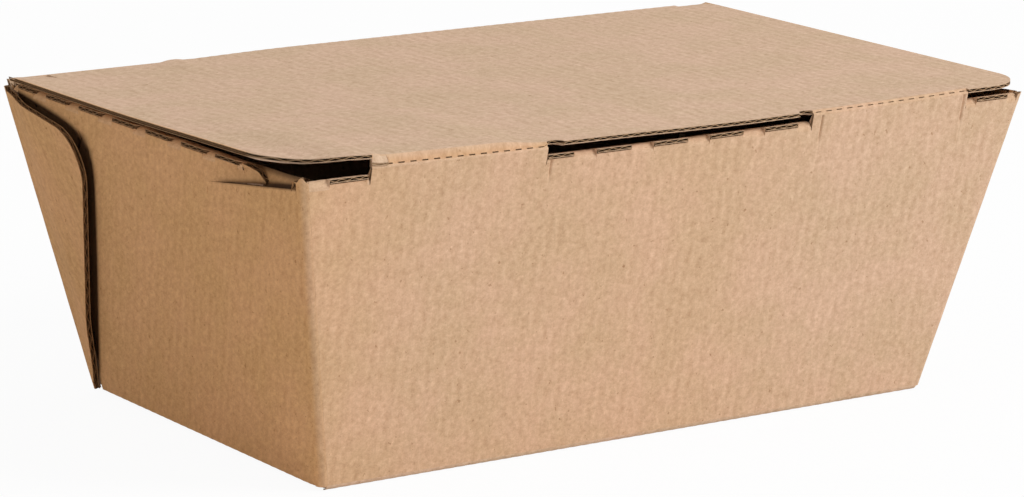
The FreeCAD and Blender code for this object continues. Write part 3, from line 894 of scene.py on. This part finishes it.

# %% [markdown]
# ## Kraft paper
#
# Kraft liner is brown paper of mixed fibres: cloudy at arm's length, streaked close up, with a few
# dark and a few pale flecks. The flutes show through it as faint stripes, which are painted shade of
# the liner's washboard. All of that is laid out on the sheet's own flat coordinates, kept as a UV map
# in metres, so it runs round every fold as it does on the real sheet. From 0 to 1 the number on each
# point turns the paper browner, as on the left end, whose brown is partly its paper and partly
# painted shade of the end in half shade. From 1 to 2 it paints shade into crevices that hardly any
# light reaches. A small class lets the shader's sums be written as Python sums.


# %% Shader sums
class Socket:
    """An output socket of a material's nodes, which adds Math nodes when it is used in a sum."""

    def __init__(self, tree, link=None):
        self.tree, self.link = tree, link

    def node(self, kind, settings=(), output=0, **sockets):
        """Adds a node: its settings first, then the value or link of each named socket."""
        made = self.tree.nodes.new("ShaderNode" + kind)
        for key, value in dict(settings).items():
            setattr(made, key, value)
        for key, value in sockets.items():
            place = made.inputs[int(key[1:]) if key[0] == "_" else key.replace("_", " ")]
            if isinstance(value, Socket):
                self.tree.links.new(value.link, place)
            else:
                place.default_value = value
        return Socket(self.tree, made.outputs[output])

    def math(self, operation, a, b=0.0):
        return self.node("Math", {"operation": operation}, _0=a, _1=b)

    def __add__(self, other):
        return self.math("ADD", self, other)

    def __sub__(self, other):
        return self.math("SUBTRACT", self, other)

    def __rsub__(self, other):
        return self.math("SUBTRACT", other, self)

    def __mul__(self, other):
        return self.math("MULTIPLY", self, other)

    __radd__, __rmul__ = __add__, __mul__

    def above(self, low, high):
        """0 up to low, 1 from high on, and straight between."""
        return self.node("MapRange", {"clamp": True}, Value=self, From_Min=low, From_Max=high)

    def toned(self, low, high):
        """Mix of two colours by this value."""
        settings = {"data_type": "RGBA", "clamp_factor": True}
        return self.node("Mix", settings, output=2, _0=self, _6=low, _7=high)

    def shaded(self, factor, spread):
        """This colour times a factor f, so that shade is warmer than light.

        Red is multiplied by f + (1 - f) * spread, green by f and blue by f - (1 - f) * spread.
        """
        tint = self.node("CombineColor", Red=factor * (1 - spread) + spread, Green=factor,
                         Blue=factor * (1 + spread) - spread)
        settings = {"data_type": "RGBA", "blend_type": "MULTIPLY"}
        return self.node("Mix", settings, output=2, _0=1.0, _6=self, _7=tint)


def new_finish(name):
    """A material with an empty Principled shader, and a Socket to start its sums from."""
    material = bpy.data.materials.new(name)
    material.use_nodes = True
    return material, material.node_tree.nodes["Principled BSDF"], Socket(material.node_tree)


# %% Noise on the sheet and painted shade in crevices
# Shade painted into crevices: the share of colour taken away at 2, and how much warmer it turns.
crevice_loss, crevice_spread = 0.94, 0.03


def cloud(start, place, scale, detail=2.0, turn=0, stretch=1.0, shift=0.0):
    """Noise in cells of 1/scale metres, drawn out by stretch along a turned direction."""
    turned = start.node("Mapping", {"vector_type": "TEXTURE"}, Vector=place, Location=(shift, shift, 0),
                        Rotation=(0, 0, math.radians(turn)), Scale=(1, stretch, 1))
    return start.node("TexNoise", {"noise_dimensions": "2D"}, Vector=turned, Scale=scale, Detail=detail,
                      Roughness=0.6)


def in_shade(paper, warmth):
    """Painted shade: a paper's colour times 1 while the number is at most 1, falling to 1 - crevice_loss at
    2.
    """
    return paper.shaded(1.0 - warmth.above(1.0, 2.0) * crevice_loss, crevice_spread)


# %% Kraft liner
# The browner colours are the left end's: partly its paper, partly painted shade.
kraft_colour, kraft_pink = (0.615, 0.431, 0.287, 1), (0.632, 0.427, 0.296, 1)
kraft_brown_shaded, kraft_brown_shaded_pink = (0.606, 0.330, 0.140, 1), (0.620, 0.328, 0.148, 1)
kraft, shader, start = new_finish("kraft_liner")
sheet_place = start.node("UVMap", {"uv_map": "sheet"})
warmth = start.node("Attribute", {"attribute_name": "warmth"}, 2)
clouds = cloud(start, sheet_place, 45, 3.0)
mottle = cloud(start, sheet_place, 300)
fibres = cloud(start, sheet_place, 900, 2.0, 8, 2.6) + cloud(start, sheet_place, 950, 2.0, -50, 2.0, 0.3)
fibres = (fibres + cloud(start, sheet_place, 1100, 2.0, 70, 2.0, 0.7)) * (1 / 3)
grain = cloud(start, sheet_place, 2600, 1.0)
turns = 2 * math.pi / (flute_pitch * MM)
# Painted shade of the liner's washboard: a faint dark stripe on each flute.
painted_flute_shade = start.math("SINE", start.node("SeparateXYZ", Vector=sheet_place) * turns)
painted_flute_shade = painted_flute_shade * cloud(start, sheet_place, 100, 1.0, 0, 2.0, 0.5).above(0.3, 0.7)
dark = cloud(start, sheet_place, 650, 2.0, 30, 1.3, 0.1).above(0.73, 0.78)
pale = cloud(start, sheet_place, 850, 2.0, -30, 1.3, 0.9).above(0.69, 0.77)

# %% Colour and relief of the kraft liner
tone = 1.0 + (clouds - 0.5) * 0.16 + (mottle - 0.5) * 0.20 + (fibres - 0.5) * 0.90 + (grain - 0.5) * 0.25
tone = tone - painted_flute_shade * 0.045 - dark * 0.34 + pale * 0.12
pinkness = clouds.above(0.35, 0.65)
paper = pinkness.toned(warmth.toned(kraft_colour, kraft_brown_shaded), warmth.toned(kraft_pink, kraft_brown_shaded_pink))
paper = in_shade(paper.shaded(tone, 0.2), warmth)
start.tree.links.new(paper.link, shader.inputs["Base Color"])
relief = fibres * 0.7 + mottle * 0.6 + grain * 0.2 - dark * 0.2
bump = start.node("Bump", Strength=0.3, Distance=0.0002, Height=relief)
start.tree.links.new(bump.link, shader.inputs["Normal"])
start.tree.links.new((0.86 + (fibres - 0.5) * 0.2).link, shader.inputs["Roughness"])
shader.inputs["Specular IOR Level"].default_value = 0.22
print("kraft liner", len(kraft.node_tree.nodes), "nodes")

# %% [markdown]
# ## Cut edges and medium
#
# A die tears the papers as much as it cuts them, so the edges are hairy and darker in spots. The
# medium is a duller recycled paper and lies in the shade of the liners. Their noise reads the
# object's own coordinates, because an edge has no flat place on the sheet. They follow the same
# number as the liner, which turns an edge a darker brown than a face; that dark brown is painted
# shade, for the left end in half shade and for crevices.


# %% Cut edge and medium
def rough_paper(name, low, high, brown_shaded_low, brown_shaded_high, scale, strength):
    """A finish between two colours by 0.6 * fuzz + 0.4 * hairs, two sizes of noise."""
    material, shader, start = new_finish(name)
    place = start.node("TexCoord", {}, 3)
    warmth = start.node("Attribute", {"attribute_name": "warmth"}, 2)
    fuzz = start.node("TexNoise", Vector=place, Scale=scale, Detail=4.0, Roughness=0.7)
    hairs = start.node("TexNoise", Vector=place, Scale=scale * 4, Detail=2.0)
    share = (fuzz * 0.6 + hairs * 0.4).above(0.35, 0.65)
    paper = in_shade(share.toned(warmth.toned(low, brown_shaded_low), warmth.toned(high, brown_shaded_high)), warmth)
    start.tree.links.new(paper.link, shader.inputs["Base Color"])
    bump = start.node("Bump", Strength=strength, Distance=0.0002, Height=fuzz + hairs)
    start.tree.links.new(bump.link, shader.inputs["Normal"])
    shader.inputs["Roughness"].default_value = 0.95
    shader.inputs["Specular IOR Level"].default_value = 0.1
    return material


# Each edge's second pair of colours, a dark brown, is painted shade for the left end and crevices.
cut_edge = rough_paper("cut_edge", (0.40, 0.262, 0.160, 1), (0.60, 0.420, 0.285, 1),
                       (0.20, 0.100, 0.042, 1), (0.38, 0.215, 0.100, 1), 900, 0.5)
flute_paper = rough_paper("flute_paper", (0.28, 0.165, 0.085, 1), (0.42, 0.270, 0.155, 1),
                          (0.12, 0.055, 0.022, 1), (0.24, 0.125, 0.055, 1), 700, 0.4)

# %% The pieces ride on their bodies
finishes = [kraft, cut_edge, flute_paper]
on_tray = {"hinge_wall": wall_pieces, "base_and_end_walls": base_pieces, "far_wall": far_pieces,
           "right_end_flap": flap_pieces[1], "left_end_flap": flap_pieces[-1]}
on_lid_body = {"lid_panel": lid_pieces, "tuck_flap": tuck_pieces}
for body, made in (("tray", on_tray), ("lid", on_lid_body)):
    for name, pieces in made.items():
        piece = pieces.mesh_object(name, finishes)
        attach(piece, body)
        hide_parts(body)

crease_strip = crease_pieces.mesh_object("crease_strip", finishes)
crease_low, crease_high = wall_line(wall_hinge - blend_half, 0.0), lid_line(blend_half, 0.0)
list(crease_low * MM)
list(crease_high * MM)
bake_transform(crease_strip)

# %% [markdown]
# ## Camera, floor and light
#
# The camera was fitted to the box's corners: a long lens from the front left, 13 degrees up. The
# floor is pale and stays white to the camera but for a trace of the box's shadow. One large lamp
# at the front right and an even sky light the box, so its left end is in half shade.

# %% Camera
image_width, focal, roll = 1024, 4366.0, math.radians(0.86)
azimuth, elevation, distance = math.radians(-34.46), math.radians(13.04), 1112.0
back = Vector((math.sin(azimuth) * math.cos(elevation), -math.cos(azimuth) * math.cos(elevation),
               math.sin(elevation)))
right = Vector((math.cos(azimuth), math.sin(azimuth), 0))
up = back.cross(right)
right_rolled = math.cos(roll) * right + math.sin(roll) * up
up_rolled = math.cos(roll) * up - math.sin(roll) * right
camera = bpy.data.objects.new("camera", bpy.data.cameras.new("camera"))
bpy.context.scene.collection.objects.link(camera)
turn = Matrix((right_rolled, up_rolled, back)).transposed().to_4x4()
camera.matrix_world = Matrix.Translation((Vector((0, 0, 39.75)) + distance * back) * MM) @ turn
camera.data.sensor_width = 36.0
camera.data.lens = focal * 36.0 / image_width
camera.data.shift_x, camera.data.shift_y = -1.4 / image_width, -10.0 / image_width
camera.data.clip_start, camera.data.clip_end = 0.05, 50.0
bpy.context.scene.camera = camera
print("lens", round(camera.data.lens, 1), "mm")

# %% Floor and backdrop
floor_mesh = bpy.data.meshes.new("floor")
floor_mesh.from_pydata([(-8, -8, 0), (8, -8, 0), (8, 8, 0), (-8, 8, 0)], [], [(0, 1, 2, 3)])
floor = bpy.data.objects.new("floor", floor_mesh)
bpy.context.scene.collection.objects.link(floor)


def seen(start):
    """1 for rays from the camera, from gloss and through glass, and 0 for light on the object."""
    kinds = ("Is Camera Ray", "Is Glossy Ray", "Is Transmission Ray")
    rays = [start.node("LightPath", {}, kind) for kind in kinds]
    return start.math("MAXIMUM", start.math("MAXIMUM", rays[0], rays[1]), rays[2])


floor_glow = 0.94
floor_white, shader, start = new_finish("floor_white")
shader.inputs["Base Color"].default_value = (0.86, 0.86, 0.86, 1)
shader.inputs["Roughness"].default_value = 1.0
shader.inputs["Specular IOR Level"].default_value = 0.0
glow = start.node("Emission", Color=(1, 1, 1, 1), Strength=1.0)
diffuse = Socket(start.tree, shader.outputs[0])
mixed = start.node("MixShader", _0=seen(start) * floor_glow, _1=diffuse, _2=glow)
start.tree.links.new(mixed.link, start.tree.nodes["Material Output"].inputs["Surface"])
floor_mesh.materials.append(floor_white)

# %% Light
sky_strength = 0.62
world = bpy.data.worlds.new("studio")
bpy.context.scene.world = world
world.use_nodes = True
sky = Socket(world.node_tree)
strength = seen(sky) * (1 - sky_strength) + sky_strength
plain = sky.node("Background", Color=(1, 1, 1, 1), Strength=strength)
world.node_tree.links.new(plain.link, world.node_tree.nodes["World Output"].inputs["Surface"])

lamp = bpy.data.objects.new("key", bpy.data.lights.new("key", "AREA"))
lamp.data.shape, lamp.data.size, lamp.data.energy = "DISK", 0.9, 21.0
lamp_from = Vector((0.97, -1.22, 1.17))
lamp.location = lamp_from
lamp.rotation_euler = lamp_from.to_track_quat("Z", "Y").to_euler()
bpy.context.scene.collection.objects.link(lamp)
bpy.context.scene.view_settings.view_transform = "Standard"
